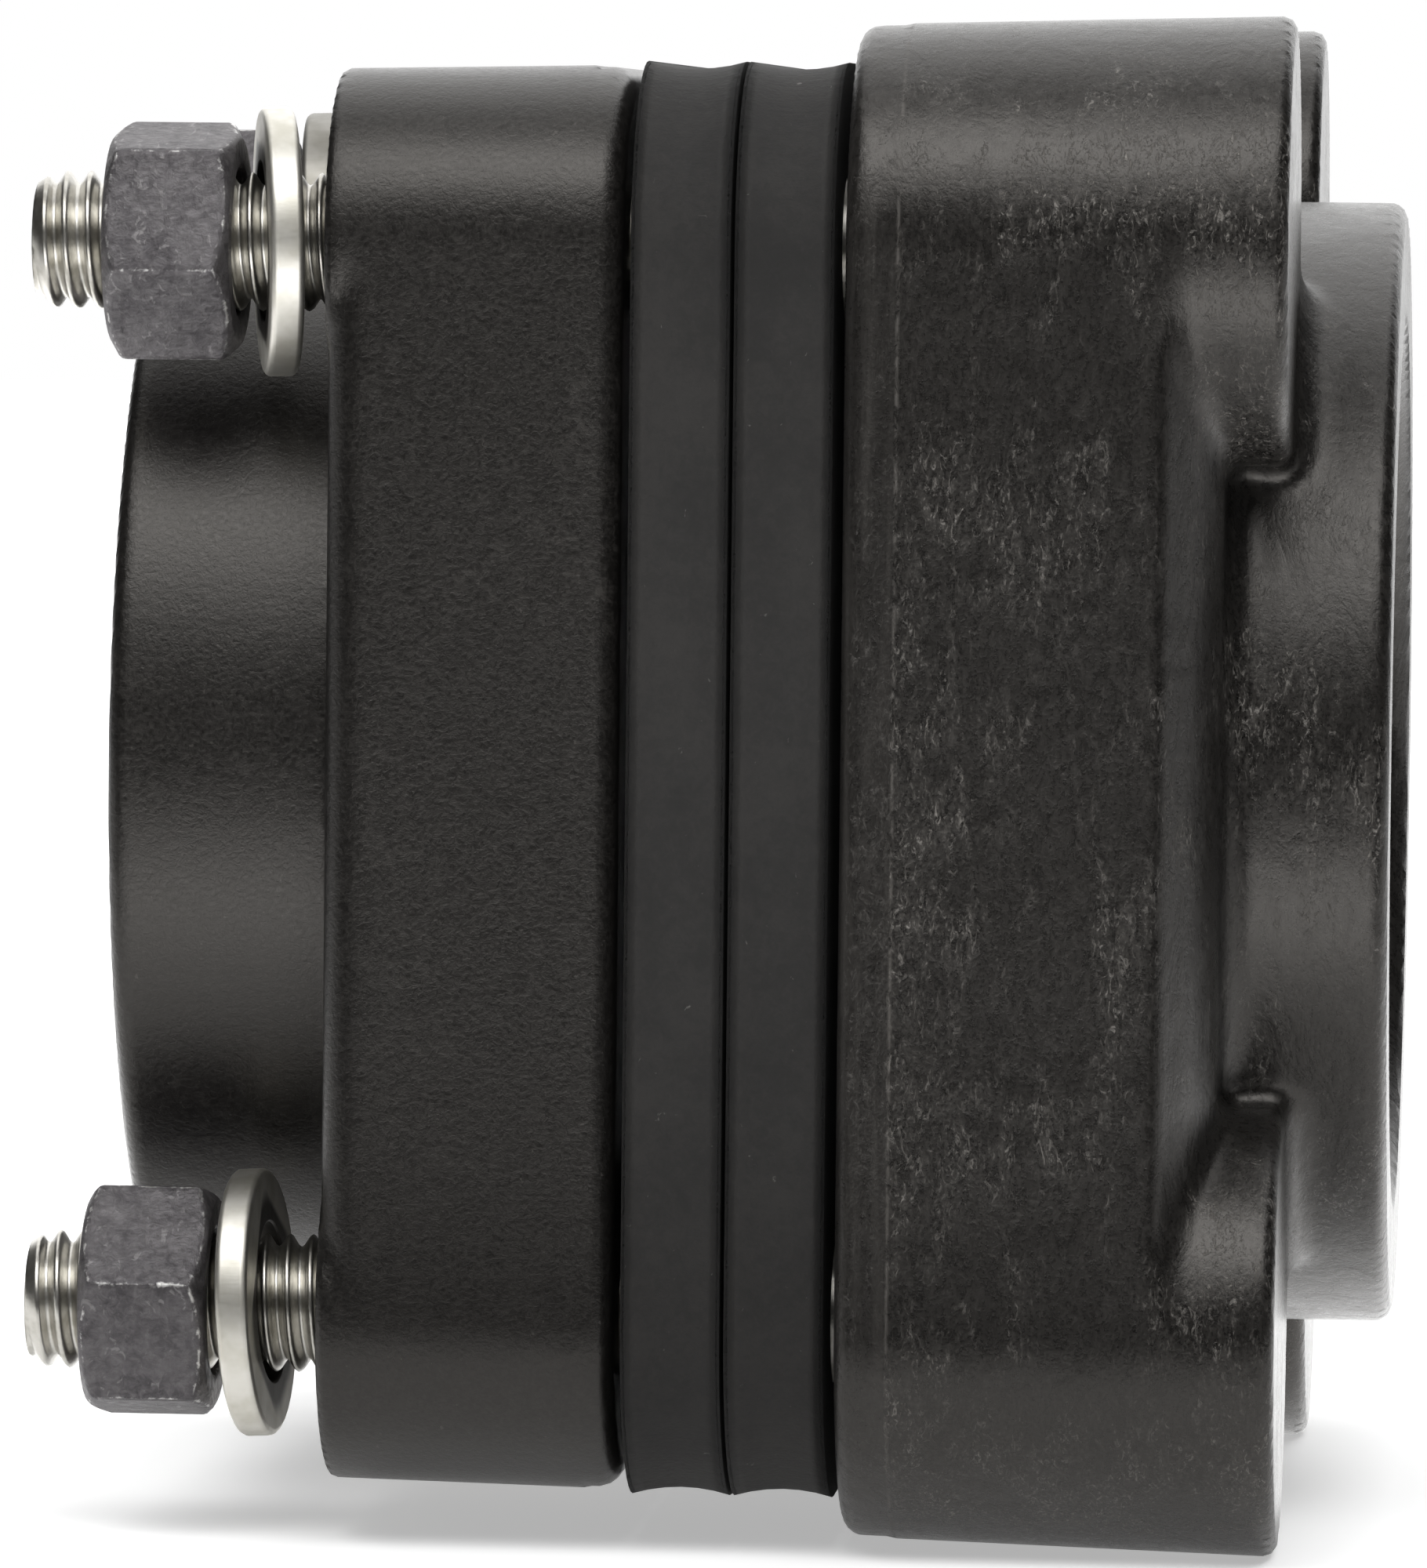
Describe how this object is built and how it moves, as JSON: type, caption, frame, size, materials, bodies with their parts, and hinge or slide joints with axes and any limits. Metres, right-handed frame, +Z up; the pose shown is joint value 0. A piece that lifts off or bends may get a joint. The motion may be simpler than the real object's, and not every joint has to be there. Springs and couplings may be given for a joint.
{
  "type": "bolted tank flange",
  "caption": "Square moulded pipe fitting that clamps through a tank wall: facing flanges with threaded hubs, thick gaskets between them and captive bolts with loose washers and nuts.",
  "frame": {"origin": "centre of the bounding box in X and Y, at its lowest level; the pipe axis runs along X above it", "axes": "+X along the pipe axis towards the hub of the flange that holds the bolt heads, +Z up"},
  "size_m": [0.0928, 0.105, 0.1049],
  "materials": {
    "black_plastic": "moulded black polypropylene, satin, finely mottled with pale rub marks",
    "black_rubber": "matte black rubber with a dusting of pale specks",
    "stainless_steel": "warm bright stainless steel",
    "dark_steel": "dark grey pitted steel with bright worn edges"
  },
  "bodies": {
    "clamp_body": {"back_flange": "black_plastic", "back_gasket": "black_rubber", "front_gasket": "black_rubber", "bolt_1": "stainless_steel", "bolt_2": "stainless_steel", "bolt_3": "stainless_steel", "bolt_4": "stainless_steel", "washer_1": "stainless_steel", "washer_2": "stainless_steel", "washer_3": "stainless_steel", "washer_4": "stainless_steel"},
    "loose_flange": {"front_flange": "black_plastic"},
    "nut_1_body": {"nut_1": "dark_steel"},
    "nut_2_body": {"nut_2": "dark_steel"},
    "nut_3_body": {"nut_3": "dark_steel"},
    "nut_4_body": {"nut_4": "dark_steel"}
  },
  "joints": [
    {"name": "front_flange_slide", "type": "slide", "parent": "clamp_body", "child": "loose_flange", "axis": [-1, 0, 0], "range_m": [-0.0003, 0.0011]},
    {"name": "nut_1_turn", "type": "hinge", "parent": "clamp_body", "child": "nut_1_body", "pos_m": [-0.03252, -0.03642, 0.08885], "axis": [1, 0, 0], "continuous": true},
    {"name": "nut_2_turn", "type": "hinge", "parent": "clamp_body", "child": "nut_2_body", "pos_m": [-0.03362, -0.03642, 0.01602], "axis": [1, 0, 0], "continuous": true},
    {"name": "nut_3_turn", "type": "hinge", "parent": "clamp_body", "child": "nut_3_body", "pos_m": [-0.03742, 0.03642, 0.08885], "axis": [1, 0, 0], "continuous": true},
    {"name": "nut_4_turn", "type": "hinge", "parent": "clamp_body", "child": "nut_4_body", "pos_m": [-0.03392, 0.03642, 0.01602], "axis": [1, 0, 0], "continuous": true}
  ]
}
